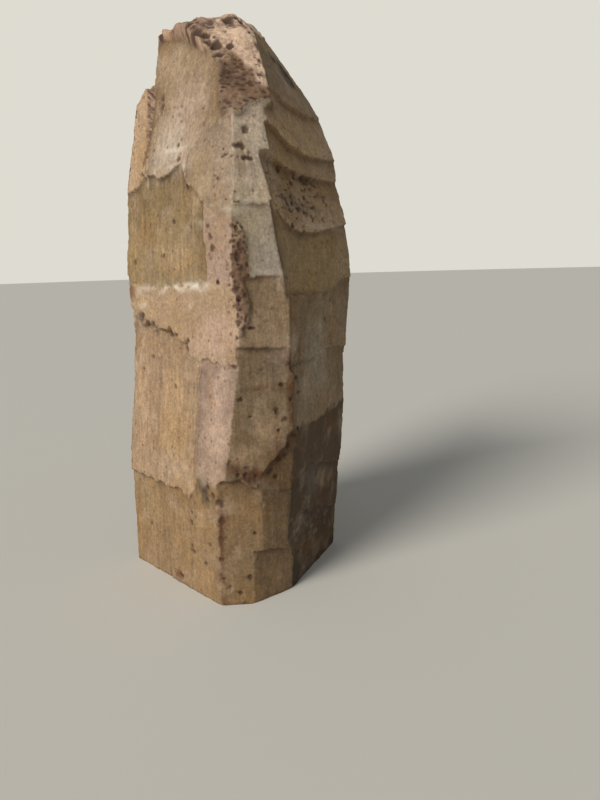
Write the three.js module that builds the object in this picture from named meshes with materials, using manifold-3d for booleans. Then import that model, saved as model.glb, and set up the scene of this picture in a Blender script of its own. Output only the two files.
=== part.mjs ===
// A rough-hewn block of carving stone that stands on its sawn foot.
// Millimetres, +Z up, with the origin at the middle of the foot, on the ground.
//
// The block starts as a split boulder with its brown skin still on it. A mason has then
// struck it all over from below with a flat chisel: each blow takes off a flake and leaves
// a flat that leans out towards its foot and ends under a ragged ledge. What no blow has
// reached is skin: the cap, the front of the shoulder, and a strip down two corners.

import * as THREE from 'three';
import { mergeVertices } from 'three/addons/utils/BufferGeometryUtils.js';
import Module from 'manifold-3d';

// ---- driving dimensions ----

const HEIGHT = 249; // foot to the top of the cap
const HALF_WIDTH = 56; // middle of the block to a side corner
const CAP_TILT = 6; // the cap falls 1 mm to the left for each 6 mm across it
const LUMP_RISE = 1.3; // how far the skin's lumps stand out or sink in
const LUMP_SIZE = 4.6; // a lump is about six times this across
const BALL_DETAIL = 17; // fineness of the skin's facets
const BLOW_REACH = 40; // how far past the stone a blow's cut is carried
const BLOW_FLARE = 0.25; // how much a cut opens towards its mouth
const EDGE = 60; // across, past either corner of the block
const GROUND = -6; // height, below the foot

// The faces of the split boulder. Each is turned about the vertical axis, in degrees from
// the front towards the right, lies `reach` out from the axis at height `at`, and comes in
// by `fall` millimetres for each millimetre that it rises.
const SPLIT_FACES = [
  { turn: 10, reach: 51.5, at: 140, fall: 0.05 },
  { turn: -3, reach: 43.5, at: 207, fall: 0.68 },
  { turn: 0, reach: 30, at: 232, fall: 1.1 },
  { turn: 18, reach: 43.4, at: 207, fall: 0.45 },
  { turn: -25, reach: 38.2, at: 207, fall: 0.31 },
  { turn: -48, reach: 45.5, at: 60, fall: 0.03 },
  { turn: -55, reach: 37, at: 205, fall: 0.3 },
  { turn: -72, reach: 38.2, at: 214.5, fall: 0.17 },
  { turn: -48, reach: 22.5, at: 240, fall: 0.5 },
  { turn: -60, reach: 23, at: 247, fall: 1.3 },
  { turn: 20, reach: 55.5, at: 100, fall: 0.04 },
  { turn: 38, reach: 57, at: 60, fall: 0 },
  { turn: 60, reach: 50, at: 130, fall: -0.02 },
  { turn: 60, reach: 42, at: 205, fall: 0.5 },
  { turn: 60, reach: 30, at: 232, fall: 1.2 },
  { turn: 128, reach: 49, at: 130, fall: 0 },
  { turn: 130, reach: 43, at: 205, fall: 0.45 },
  { turn: 180, reach: 54, at: 60, fall: 0.01 },
  { turn: 180, reach: 46, at: 205, fall: 0.4 },
  { turn: -133, reach: 46, at: 60, fall: 0.02 },
  { turn: -135, reach: 38, at: 205, fall: 0.35 },
  { turn: -90, reach: 0, at: HEIGHT, fall: CAP_TILT },
  { turn: 0, reach: 14, at: HEIGHT - 2, fall: 2.5 },
  { turn: 180, reach: 20, at: HEIGHT - 3, fall: 2.2 },
];

// The flats, side by side. `from` is a point on the flat: across the side, height, and
// depth out from the axis. `slope` is how much the depth gains for each millimetre across
// and for each millimetre up. `head` runs along the flat's upper edge from left to right,
// as [across, height], and its two ends drop straight to `foot`, the flat's lowest height,
// under the next flat down. Where the lower edge slants, `head` starts along it.
const SIDES = [
  {
    turn: -48, // front left
    flats: [
      {
        from: [0, 0, 42.8], slope: [0, -0.03], foot: GROUND,
        head: [[-EDGE, 49], [-32, 48], [-10, 47], [6, 47], [12, 45], [15, 50], [18, 56],
          [28, 55], [34, 60], [EDGE, 60]],
      },
      {
        from: [-24, 85, 38.9], slope: [-0.048, -0.114], foot: 38,
        head: [[-EDGE, 112], [-32.5, 114], [-29, 126], [-24, 120], [-18, 122], [-14, 118],
          [-12, 118]],
      },
      {
        from: [1, 85, 37.6], slope: [-0.048, -0.137], foot: 40,
        head: [[-12, 118], [-4, 119], [2, 116], [7, 113], [9, 108], [16, 107]],
      },
      {
        from: [29, 85, 36.3], slope: [-0.048, -0.162], foot: 42,
        head: [[16, 107], [25, 107], [30, 105], [45, 107]],
      },
      {
        from: [-33, 126, 37.2], slope: [-0.055, 0.02], foot: 104.5,
        head: [[16, 105], [-EDGE, 111], [-EDGE, 140], [50, 140]],
      },
      {
        from: [35, 137, 33.9], slope: [-0.06, -0.05], foot: 136,
        head: [[10, 172], [45, 172]],
      },
      {
        from: [-33, 139, 37.3], slope: [-0.055, -0.075], foot: 138,
        head: [[-EDGE, 180], [-23, 179], [-18, 185], [-9, 185], [-6, 183], [0, 184],
          [8, 187], [12, 179], [18, 175], [22, 171], [22, 160], [24, 146]],
      },
      {
        from: [36, 185, 29.2], slope: [-0.12, -0.15], foot: 166,
        head: [[12, 186], [13, 190], [19, 197], [28, 201], [33, 204], [38, 206], [50, 204],
          [50, 171], [34, 168]],
      },
      {
        from: [0, 180, 34.6], slope: [-0.05, -0.25], foot: 168,
        head: [[-20, 184], [-18, 194], [-16, 201], [-15, 219], [-20, 223], [-EDGE, 225],
          [-EDGE, 240], [-19, 242], [-5, 240], [1, 238], [9, 233], [15, 230], [22, 229],
          [26, 219], [28, 207], [31, 203]],
      },
      {
        from: [-28, 187, 34.5], slope: [-0.13, -0.14], foot: 172,
        head: [[-EDGE, 221], [-12, 221], [-13, 213], [-15, 201], [-16, 195], [-18, 184]],
      },
    ],
  },
  {
    turn: 15, // front right
    flats: [
      {
        from: [-9, 170, 49.6], slope: [-0.12, -0.165], foot: 160,
        head: [[-7, 171], [-30, 171], [-30, 200], [-10, 202], [-5, 202], [0, 206], [6, 209],
          [30, 210]],
      },
      {
        from: [-9, 143, 51], slope: [-0.08, -0.09], foot: 136,
        head: [[-5, 148], [-5, 157], [-8, 163], [-14, 169], [30, 170]],
      },
      {
        from: [-7, 114, 51.3], slope: [0, -0.055], foot: 104,
        head: [[-20, 117], [-9, 119], [-6, 125], [-5, 133], [-7, 141], [30, 142]],
      },
      {
        from: [-21, 62, 50.1], slope: [0.065, -0.028], foot: 56,
        head: [[-30, 114], [15, 112], [30, 112]],
      },
      {
        from: [5, 55, 49.4], slope: [-0.2, 0], foot: 46,
        head: [[-6, 57], [3, 65], [7, 69], [9, 75], [13, 79], [14, 90], [30, 90]],
      },
      {
        from: [-11, 0, 50.9], slope: [0.268, -0.036], foot: GROUND,
        head: [[-40, 57], [-20, 56], [-13, 57], [-9, 53], [10, 54]],
      },
      {
        from: [-4, 50, 51], slope: [-0.29, -0.02], foot: 17,
        head: [[-12, 52], [-3, 52], [20, 47], [30, 47]],
      },
      {
        from: [-9, 10, 50.9], slope: [-0.33, -0.01], foot: GROUND,
        head: [[-12, 25], [-7, 24], [13, 20], [30, 19]],
      },
    ],
  },
  {
    turn: 60, // right
    flats: [
      {
        from: [2, 0, 38.2], slope: [-0.02, 0.03], foot: GROUND,
        head: [[-40, 36], [-16, 34], [-9, 34], [24, 22], [EDGE, 20]],
      },
      {
        from: [2, 25, 39.3], slope: [0, 0.05], foot: 16,
        head: [[-28, 50], [-8, 56], [28, 45], [EDGE, 43]],
      },
      {
        from: [29, 50, 41.3], slope: [0, 0.07], foot: 38,
        head: [[-27, 68], [-26, 88], [-11, 88], [31, 81], [EDGE, 80]],
      },
      {
        from: [29, 85, 43.4], slope: [0.02, 0], foot: 76,
        head: [[-26, 92], [-24, 100], [-25, 112], [-10, 110], [33, 105], [EDGE, 104]],
      },
      {
        from: [31, 107, 44.5], slope: [0.06, 0.07], foot: 104,
        head: [[-25, 113], [-26, 132], [-27, 142], [32, 139], [EDGE, 138]],
      },
      {
        from: [31, 145, 46.6], slope: [0.115, -0.1], foot: 134,
        head: [[-26, 142], [-28, 156], [-29, 171], [-25, 170], [-23, 165], [-17, 160],
          [-10, 158.5], [-1, 158.5], [15, 161], [26, 163], [EDGE, 166]],
      },
      {
        from: [30, 165, 45.5], slope: [0.12, -0.29], foot: 154,
        head: [[-27, 188], [-18, 186], [-15, 184], [-6, 182.5], [7, 182], [16, 182],
          [33, 183], [EDGE, 184]],
      },
      {
        from: [29, 182, 42], slope: [0.09, -0.2], foot: 176,
        head: [[-25, 200], [-19, 198], [-15, 195], [-10, 192.5], [-3, 191], [6, 190.5],
          [15, 191], [26, 192], [EDGE, 193]],
      },
      {
        from: [27, 193, 40.7], slope: [0.05, -0.33], foot: 184,
        head: [[-25, 206], [-19, 207], [-17, 216], [-13, 214], [-9, 211], [-3, 209],
          [5, 208.5], [14, 209], [26, 210.5], [EDGE, 212]],
      },
      {
        from: [25, 210, 35.8], slope: [0, -0.6], foot: 203,
        head: [[-23, 209], [-19, 216], [-12, 227], [-6, 236], [-1, 244], [4, 250], [6, 258],
          [EDGE, 258]],
      },
    ],
  },
  {
    turn: 128, // back right
    flats: [
      {
        from: [0, 0, 36.5], slope: [-0.09, 0.065], foot: GROUND,
        head: [[-EDGE, 50], [-24, 52], [-10, 47], [4, 55], [20, 58], [36, 54]],
      },
      {
        from: [0, 54, 41], slope: [-0.09, 0.01], foot: 44,
        head: [[-EDGE, 104], [-26, 101], [-12, 108], [0, 104], [10, 111], [33, 108]],
      },
      {
        from: [0, 108, 42.5], slope: [-0.1, 0.03], foot: 98,
        head: [[-EDGE, 150], [-20, 154], [-6, 148], [14, 156], [34, 152]],
      },
      {
        from: [0, 152, 43.8], slope: [-0.1, -0.12], foot: 144,
        head: [[-EDGE, 190], [-18, 187], [-6, 193], [8, 186], [24, 190], [32, 194]],
      },
      {
        from: [0, 190, 39.5], slope: [-0.12, -0.29], foot: 182,
        head: [[-EDGE, 221], [-16, 220], [0, 226], [16, 221], [26, 214]],
      },
      {
        from: [0, 222, 29.5], slope: [-0.1, -0.65], foot: 214,
        head: [[-EDGE, 246], [-14, 246], [-4, 240], [6, 236], [14, 226]],
      },
    ],
  },
  {
    turn: -133, // back left
    flats: [
      {
        from: [0, 0, 41.5], slope: [-0.03, -0.01], foot: GROUND,
        head: [[-34, 41], [-22, 48], [-6, 42], [14, 50], [EDGE, 46]],
      },
      {
        from: [0, 48, 43], slope: [-0.085, -0.075], foot: 36,
        head: [[-36, 92], [-26, 94], [-12, 101], [6, 96], [22, 104], [EDGE, 100]],
      },
      {
        from: [0, 100, 40.5], slope: [-0.12, -0.04], foot: 88,
        head: [[-33, 138], [-24, 147], [-10, 140], [8, 146], [24, 141], [EDGE, 144]],
      },
      {
        from: [0, 143, 40.5], slope: [-0.13, -0.06], foot: 132,
        head: [[-34, 176], [-26, 179], [-8, 186], [10, 180], [26, 184], [EDGE, 178]],
      },
      {
        from: [0, 182, 38.5], slope: [-0.14, -0.22], foot: 172,
        head: [[-30, 210], [-20, 220], [-4, 214], [14, 221], [EDGE, 219]],
      },
      {
        from: [0, 218, 31.2], slope: [-0.12, -0.42], foot: 211,
        head: [[-18, 232], [-4, 238], [12, 236], [EDGE, 239]],
      },
    ],
  },
  {
    turn: -93, // left, two blows that came down on the shoulder
    flats: [
      { from: [0, 219, 36], slope: [0, -0.9], foot: 213, head: [[-EDGE, 226], [20, 226]] },
      { from: [0, 229, 29], slope: [0, -0.12], foot: 224, head: [[-EDGE, 258], [20, 258]] },
    ],
  },
];

// ---- shapes ----

// A side's outward direction, and its direction across from left to right.
function directions(turn) {
  const angle = THREE.MathUtils.degToRad(turn);
  return {
    out: new THREE.Vector3(Math.sin(angle), -Math.cos(angle), 0),
    across: new THREE.Vector3(Math.cos(angle), Math.sin(angle), 0),
  };
}

// Broad lumps in the skin, from three waves that bend one another.
function lump(p) {
  const bend = Math.sin(p.z / (1.7 * LUMP_SIZE));
  const first = Math.sin(p.x / LUMP_SIZE + bend);
  const second = Math.sin(p.y / (1.1 * LUMP_SIZE) + 2 * bend);
  const third = Math.sin(p.z / (1.3 * LUMP_SIZE) + first);
  return LUMP_RISE * (0.5 * first * second + 0.5 * third);
}

// The split boulder: each point of a ball, stretched to the stone's height, is moved along
// its line from the middle until it meets the nearest split face, then by the lumps.
function boulder() {
  const geometry = new THREE.IcosahedronGeometry(1, BALL_DETAIL);
  const middle = new THREE.Vector3(0, 0, HEIGHT / 2);
  const line = new THREE.Vector3();
  const point = new THREE.Vector3();
  const places = geometry.attributes.position;
  const faces = SPLIT_FACES.map((face) => {
    const normal = directions(face.turn).out.clone();
    normal.z = face.fall;
    return { normal, far: face.reach + face.fall * face.at };
  });
  for (let i = 0; i < places.count; i += 1) {
    line.fromBufferAttribute(places, i);
    line.set(line.x * HALF_WIDTH, line.y * HALF_WIDTH, line.z * middle.z);
    let least = 2;
    for (const { normal, far } of faces) {
      const gain = normal.dot(line);
      if (gain > 0) {
        least = Math.min(least, (far - normal.dot(middle)) / gain);
      }
    }
    if (line.z < 0) {
      least = Math.min(least, (GROUND - middle.z) / line.z);
    }
    point.copy(middle).addScaledVector(line, least);
    point.addScaledVector(line.normalize(), lump(point));
    places.setXYZ(i, point.x, point.y, point.z);
  }
  return geometry;
}

// What one blow takes away: the flat's outline, laid on the flat and carried outwards.
function flake(side, flat) {
  const { out, across } = directions(side.turn);
  const [fromAcross, fromHeight, fromDepth] = flat.from;
  const [gainAcross, gainUp] = flat.slope;
  const outline = [...flat.head];
  outline.push([flat.head.at(-1)[0], flat.foot]);
  outline.push([flat.head[0][0], flat.foot]);
  const shape = new THREE.Shape(outline.map(([s, z]) => new THREE.Vector2(s, z)));
  const geometry = new THREE.ExtrudeGeometry(shape, {
    depth: BLOW_REACH, steps: 1, bevelEnabled: false,
  });
  geometry.computeBoundingBox();
  const middle = geometry.boundingBox.getCenter(new THREE.Vector3());
  const places = geometry.attributes.position;
  const point = new THREE.Vector3();
  for (let i = 0; i < places.count; i += 1) {
    const s = places.getX(i);
    const z = places.getY(i);
    const carried = places.getZ(i);
    const depth = fromDepth + gainAcross * (s - fromAcross) + gainUp * (z - fromHeight);
    const opened = 1 + (BLOW_FLARE * carried) / BLOW_REACH;
    point.copy(out).multiplyScalar(depth + carried);
    point.addScaledVector(across, middle.x + (s - middle.x) * opened);
    places.setXYZ(i, point.x, point.y, middle.y + (z - middle.y) * opened);
  }
  return geometry;
}

// ---- joining and cutting ----

const wasm = await Module();
wasm.setup();

function solid(geometry) {
  geometry.deleteAttribute('normal');
  geometry.deleteAttribute('uv');
  const merged = mergeVertices(geometry, 1e-3);
  return new wasm.Manifold(new wasm.Mesh({
    numProp: 3,
    vertProperties: Float32Array.from(merged.attributes.position.array),
    triVerts: Uint32Array.from(merged.index.array),
  }));
}

function geometryOf(body) {
  const mesh = body.getMesh();
  const geometry = new THREE.BufferGeometry();
  geometry.setAttribute('position', new THREE.BufferAttribute(mesh.vertProperties, 3));
  geometry.setIndex(new THREE.BufferAttribute(mesh.triVerts, 1));
  return geometry;
}

function hewnStone() {
  let stone = solid(boulder());
  for (const side of SIDES) {
    for (const flat of side.flats) {
      stone = stone.subtract(solid(flake(side, flat)));
    }
  }
  const ground = new THREE.BoxGeometry(4 * HALF_WIDTH, 4 * HALF_WIDTH, HALF_WIDTH);
  ground.translate(0, 0, -HALF_WIDTH / 2);
  return geometryOf(stone.subtract(solid(ground)));
}

const stone = new THREE.Mesh(
  hewnStone(),
  new THREE.MeshStandardMaterial({ color: '#b08a63', roughness: 0.9, metalness: 0 }),
);
stone.name = 'stone';

const group = new THREE.Group();
group.add(stone);

export default group;
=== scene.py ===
"""A rough-hewn block of soapstone, as it stands on a mason's bench before it is carved.

The block is one piece. Its surface is worked out point by point along lines that run out
from its upright axis: each point lies where its line first meets the split skin of the
boulder or one of the flats that the chisel has struck. Chisel scores, ragged ledges, pits and
worn edges are added to that distance, and a few attributes tell the material what each
point is: its hue, skin or struck stone, darkening in its pits and holes with painted shade
along the foot of a ledge, and the chalk of a fresh bruise with a painted highlight, partly
wear, along a sharp edge.
"""

import itertools
import math
import typing

import bpy
import numpy as np
from mathutils import Matrix


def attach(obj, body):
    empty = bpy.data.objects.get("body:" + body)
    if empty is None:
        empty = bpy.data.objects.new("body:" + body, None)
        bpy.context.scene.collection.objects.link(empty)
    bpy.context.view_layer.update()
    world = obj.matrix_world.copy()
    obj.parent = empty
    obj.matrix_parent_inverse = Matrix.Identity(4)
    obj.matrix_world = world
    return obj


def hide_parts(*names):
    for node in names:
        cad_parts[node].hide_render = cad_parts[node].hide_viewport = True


bl_info = {
    "name": "Hewn Soapstone Block",
    "version": (1, 0, 0),
    "blender": (4, 5, 0),
    "location": "3D View > Sidebar > Stone",
    "description": "Makes a rough-hewn block of soapstone and the stage that it is lit on",
    "category": "Object",
}

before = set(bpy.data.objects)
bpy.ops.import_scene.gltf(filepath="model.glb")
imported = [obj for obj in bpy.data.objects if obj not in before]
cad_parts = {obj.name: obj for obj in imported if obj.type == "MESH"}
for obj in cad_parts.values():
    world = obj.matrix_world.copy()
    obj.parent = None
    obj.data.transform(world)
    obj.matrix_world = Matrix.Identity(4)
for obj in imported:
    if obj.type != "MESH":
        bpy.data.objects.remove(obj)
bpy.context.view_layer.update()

# ---- the stone's sizes, in millimetres ----

MM = 0.001  # metres in a millimetre
HEIGHT = 249  # foot to the top of the cap
CAP_TILT = 6  # the cap falls 1 mm to the left for each 6 mm across it
EDGE = 60  # across, past either corner of the block
GROUND = -6  # height, below the foot
HUB = 188  # below this height the lines run level, and above it they fan out from here
UP = np.array([0.0, 0.0, 1.0])

# The faces of the split boulder: degrees from the front towards the right, reach from the
# axis at a height, and how far the face comes in for each millimetre that it rises.
SPLIT_FACES = (
    (10, 51.5, 140, 0.05),
    (-3, 43.5, 207, 0.68),
    (0, 30, 232, 1.1),
    (18, 43.4, 207, 0.45),
    (-25, 38.2, 207, 0.31),
    (-48, 45.5, 60, 0.03),
    (-55, 37, 205, 0.3),
    (-72, 38.2, 214.5, 0.17),
    (-48, 22.5, 240, 0.5),
    (-60, 23, 247, 1.3),
    (20, 55.5, 100, 0.04),
    (38, 57, 60, 0),
    (60, 50, 130, -0.02),
    (60, 42, 205, 0.5),
    (60, 30, 232, 1.2),
    (128, 49, 130, 0),
    (130, 43, 205, 0.45),
    (180, 54, 60, 0.01),
    (180, 46, 205, 0.4),
    (-133, 46, 60, 0.02),
    (-135, 38, 205, 0.35),
    (-90, 0, HEIGHT, CAP_TILT),
    (0, 14, HEIGHT - 2, 2.5),
    (180, 20, HEIGHT - 3, 2.2),
)


class Flat(typing.NamedTuple):
    """One flat: a point on it (across, height, depth out from the axis), how much its depth
    gains across and up, its lowest height, and its upper edge from left to right. Then its
    hue, the depth of its chisel scores, the raggedness of its ledge, how much painted shade
    darkens the stone under that ledge (partly the stone's own darker colour there), how light
    it is (the very dark tones of the lowest flats on the right side paint the shade that falls
    there), and how far down that painted shade fades. Arcs are the chatter marks of a turning
    chisel: their middle, their spacing and their depth. A skinned flat's ledge is steeper and
    lumpy, and is skin rather than struck stone."""

    at: tuple
    slope: tuple
    foot: float
    head: list
    hue: str = "tan"
    score: float = 0.14
    ragged: float = 1.0
    shade: float = 0.25
    tone: float = 1.0
    fade: float = 9.0
    arcs: tuple = None
    skinned: bool = False

    @property
    def outline(self):
        """The upper edge, closed by the lowest height."""
        return [*self.head, (self.head[-1][0], self.foot), (self.head[0][0], self.foot)]


# The flats of each side, by how far the side is turned from the front towards the right.
FRONT_LEFT = (
    Flat((0, 0, 42.8), (0, -0.03), GROUND, [(-EDGE, 49), (-32, 48), (-10, 47), (6, 47), (12, 45),
        (15, 50), (18, 56), (28, 55), (34, 60), (EDGE, 60)], "ochre", 0.24, 0.9, 0.3, 0.64),
    Flat((-24, 85, 38.9), (-0.048, -0.114), 38, [(-EDGE, 112), (-32.5, 114), (-29, 126), (-24, 120),
        (-18, 122), (-14, 118), (-12, 118)], "tan", 0.26, 1.6, 0.3, 0.76),
    Flat((1, 85, 37.6), (-0.048, -0.137), 40, [(-12, 118), (-4, 119), (2, 116), (7, 113), (9, 108),
        (16, 107)], "tan", 0.26, 1.6, 0.3, 0.78),
    Flat((29, 85, 36.3), (-0.048, -0.162), 42, [(16, 107), (25, 107), (30, 105), (45, 107)], "pink",
        0.1, 1.2, 0.15, 0.63),
    Flat((-33, 126, 37.2), (-0.055, 0.02), 104.5, [(16, 105), (-EDGE, 111), (-EDGE, 140), (50, 140)],
        "tan", 0.1, 0.6, 0, 0.83),
    Flat((35, 137, 33.9), (-0.06, -0.05), 136, [(10, 172), (45, 172)], "pink", 0.12, 0.6, 0.2, 0.78),
    Flat((-33, 139, 37.3), (-0.055, -0.075), 138, [(-EDGE, 180), (-23, 179), (-18, 185), (-9, 185),
        (-6, 183), (0, 184), (8, 187), (12, 179), (18, 175), (22, 171), (22, 160), (24, 146)], "olive",
        0.3, 0.8, 0.65, 0.86, 14),
    Flat((36, 185, 29.2), (-0.12, -0.15), 166, [(12, 186), (13, 190), (19, 197), (28, 201), (33, 204),
        (38, 206), (50, 204), (50, 171), (34, 168)], "buff", 0.06, 0.6, 0.35, 0.7),
    Flat((0, 180, 34.6), (-0.05, -0.25), 168, [(-20, 184), (-18, 194), (-16, 201), (-15, 219),
        (-20, 223), (-EDGE, 225), (-EDGE, 240), (-19, 242), (-5, 240), (1, 238), (9, 233), (15, 230),
        (22, 229), (26, 219), (28, 207), (31, 203)], "buff", 0.2, 0.15, 1.0, 0.94, 14, skinned=True),
    Flat((-28, 187, 34.5), (-0.13, -0.14), 172, [(-EDGE, 221), (-12, 221), (-13, 213), (-15, 201),
        (-16, 195), (-18, 184)], "tan", 0.2, 0.6, 0.2, 1.0),
)
FRONT_RIGHT = (
    Flat((-9, 170, 49.6), (-0.12, -0.165), 160, [(-7, 171), (-30, 171), (-30, 200), (-10, 202),
        (-5, 202), (0, 206), (6, 209), (30, 210)], "grey", 0.06, 0.3, 0.25, 1.5),
    Flat((-9, 143, 51), (-0.08, -0.09), 136, [(-5, 148), (-5, 157), (-8, 163), (-14, 169), (30, 170)],
        "grey", 0.06, 0.4, 0.3, 1.12),
    Flat((-7, 114, 51.3), (0, -0.055), 104, [(-20, 117), (-9, 119), (-6, 125), (-5, 133), (-7, 141),
        (30, 142)], "dun", 0.1, 0.5, 0.5, 0.82),
    Flat((-21, 62, 50.1), (0.065, -0.028), 56, [(-30, 114), (15, 112), (30, 112)], "dun", 0.12, 0.5,
        0.45, 0.57),
    Flat((5, 55, 49.4), (-0.2, 0), 46, [(-6, 57), (3, 65), (7, 69), (9, 75), (13, 79), (14, 90),
        (30, 90)], "umber", 0.16, 1.0, 0.3, 0.62),
    Flat((-11, 0, 50.9), (0.268, -0.036), GROUND, [(-40, 57), (-20, 56), (-13, 57), (-9, 53), (10, 54)],
        "ochre", 0.1, 0.6, 0.3, 0.5),
    Flat((-4, 50, 51), (-0.29, -0.02), 17, [(-12, 52), (-3, 52), (20, 47), (30, 47)], "ochre", 0.1, 0.6,
        0.4, 0.44),
    Flat((-9, 10, 50.9), (-0.33, -0.01), GROUND, [(-12, 25), (-7, 24), (13, 20), (30, 19)], "ochre",
        0.1, 0.6, 0.25, 0.46),
)
RIGHT = (
    # Painted shade: the three lowest flats here are toned very dark for the shade that falls low on this
    # side.
    Flat((2, 0, 38.2), (-0.02, 0.03), GROUND,
         [(-40, 36), (-16, 34), (-9, 34), (24, 22), (EDGE, 20)], "umber", 0.1, 0.6, 0.3, 0.2),
    Flat((2, 25, 39.3), (0, 0.05), 16, [(-28, 50), (-8, 56), (28, 45), (EDGE, 43)],
         "umber", 0.1, 0.6, 0.4, 0.32),
    Flat((29, 50, 41.3), (0, 0.07), 38,
         [(-27, 68), (-26, 88), (-11, 88), (31, 81), (EDGE, 80)], "umber", 0.1, 0.5, 0.4, 0.36),
    Flat((29, 85, 43.4), (0.02, 0), 76,
         [(-26, 92), (-24, 100), (-25, 112), (-10, 110), (33, 105), (EDGE, 104)],
         "dun", 0.16, 0.5, 0.4, 0.68),
    Flat((31, 107, 44.5), (0.06, 0.07), 104,
         [(-25, 113), (-26, 132), (-27, 142), (32, 139), (EDGE, 138)],
         "dun", 0.12, 0.3, 0.7, 0.72, 12),
    # Painted shade: these four flats darken strongly over a short fade, the dark band under each crescent
    # ledge.
    Flat((31, 145, 46.6), (0.115, -0.1), 134,
         [(-26, 142), (-28, 156), (-29, 171), (-25, 170), (-23, 165), (-17, 160),
          (-10, 158.5), (-1, 158.5), (15, 161), (26, 163), (EDGE, 166)], "olive", 0.06, 0.2, 0.7, 0.9, 4),
    Flat((30, 165, 45.5), (0.12, -0.29), 154,
         [(-27, 188), (-18, 186), (-15, 184), (-6, 182.5), (7, 182), (16, 182), (33, 183),
          (EDGE, 184)],
         "dun", 0.06, 0.15, 0.85, 1.08, 5, (12, 184, 6.1, 0.7)),
    Flat((29, 182, 42), (0.09, -0.2), 176,
         [(-25, 200), (-19, 198), (-15, 195), (-10, 192.5), (-3, 191), (6, 190.5), (15, 191),
          (26, 192), (EDGE, 193)],
         "dun", 0.06, 0.12, 0.8, 1.03, 4),
    Flat((27, 193, 40.7), (0.05, -0.33), 184,
         [(-25, 206), (-19, 207), (-17, 216), (-13, 214), (-9, 211), (-3, 209), (5, 208.5),
          (14, 209), (26, 210.5), (EDGE, 212)], "dun", 0.06, 0.12, 0.85, 1.2, 4),
    Flat((25, 210, 35.8), (0, -0.6), 203,
         [(-23, 209), (-19, 216), (-12, 227), (-6, 236), (-1, 244), (4, 250), (6, 258),
          (EDGE, 258)], "dun", 0.06, 0.4, 0.25, 0.88),
)
BACK_RIGHT = (
    Flat((0, 0, 36.5), (-0.09, 0.065), GROUND, [(-EDGE, 50), (-24, 52), (-10, 47), (4, 55), (20, 58),
        (36, 54)], "dun", 0.2),
    Flat((0, 54, 41), (-0.09, 0.01), 44, [(-EDGE, 104), (-26, 101), (-12, 108), (0, 104), (10, 111),
        (33, 108)], "ochre", 0.25),
    Flat((0, 108, 42.5), (-0.1, 0.03), 98, [(-EDGE, 150), (-20, 154), (-6, 148), (14, 156), (34, 152)],
        "tan", 0.1),
    Flat((0, 152, 43.8), (-0.1, -0.12), 144, [(-EDGE, 190), (-18, 187), (-6, 193), (8, 186), (24, 190),
        (32, 194)], "olive", 0.2),
    Flat((0, 190, 39.5), (-0.12, -0.29), 182, [(-EDGE, 221), (-16, 220), (0, 226), (16, 221),
        (26, 214)], "grey", 0.08),
    Flat((0, 222, 29.5), (-0.1, -0.65), 214, [(-EDGE, 246), (-14, 246), (-4, 240), (6, 236), (14, 226)],
        "pink", 0.1),
)
BACK_LEFT = (
    Flat((0, 0, 41.5), (-0.03, -0.01), GROUND, [(-34, 41), (-22, 48), (-6, 42), (14, 50), (EDGE, 46)],
        "ochre", 0.2),
    Flat((0, 48, 43), (-0.085, -0.075), 36, [(-36, 92), (-26, 94), (-12, 101), (6, 96), (22, 104),
        (EDGE, 100)], "dun", 0.25),
    Flat((0, 100, 40.5), (-0.12, -0.04), 88, [(-33, 138), (-24, 147), (-10, 140), (8, 146), (24, 141),
        (EDGE, 144)], "pink", 0.12),
    Flat((0, 143, 40.5), (-0.13, -0.06), 132, [(-34, 176), (-26, 179), (-8, 186), (10, 180), (26, 184),
        (EDGE, 178)], "olive", 0.25),
    Flat((0, 182, 38.5), (-0.14, -0.22), 172, [(-30, 210), (-20, 220), (-4, 214), (14, 221),
        (EDGE, 219)], "tan", 0.15),
    Flat((0, 218, 31.2), (-0.12, -0.42), 211, [(-18, 232), (-4, 238), (12, 236), (EDGE, 239)], "pink",
        0.1),
)
# Two blows that came down on the shoulder.
LEFT_SHOULDER = (
    Flat((0, 219, 36), (0, -0.9), 213, [(-EDGE, 226), (20, 226)], "pink", 0.1, 0.8, 0.2),
    Flat((0, 229, 29), (0, -0.12), 224, [(-EDGE, 258), (20, 258)], "tan", 0.12, 0.8, 0),
)
SIDES = ((-48, FRONT_LEFT), (15, FRONT_RIGHT), (60, RIGHT), (128, BACK_RIGHT), (-133, BACK_LEFT),
         (-93, LEFT_SHOULDER))
# Every flat with its side's turn. They are numbered from 1, and 0 is the skin.
FLATS = [(turn, struck) for turn, side in SIDES for struck in side]

# Heights on the skin: below the first it is worn bare in places, the crust begins at the
# second, the cap's holes lie above the third, and the last is the crust's upper edge.
BARE_TOP = 195
CRUST_FOOT = 200
CAP_FOOT = 215
CRUST_TOP = 232

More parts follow.
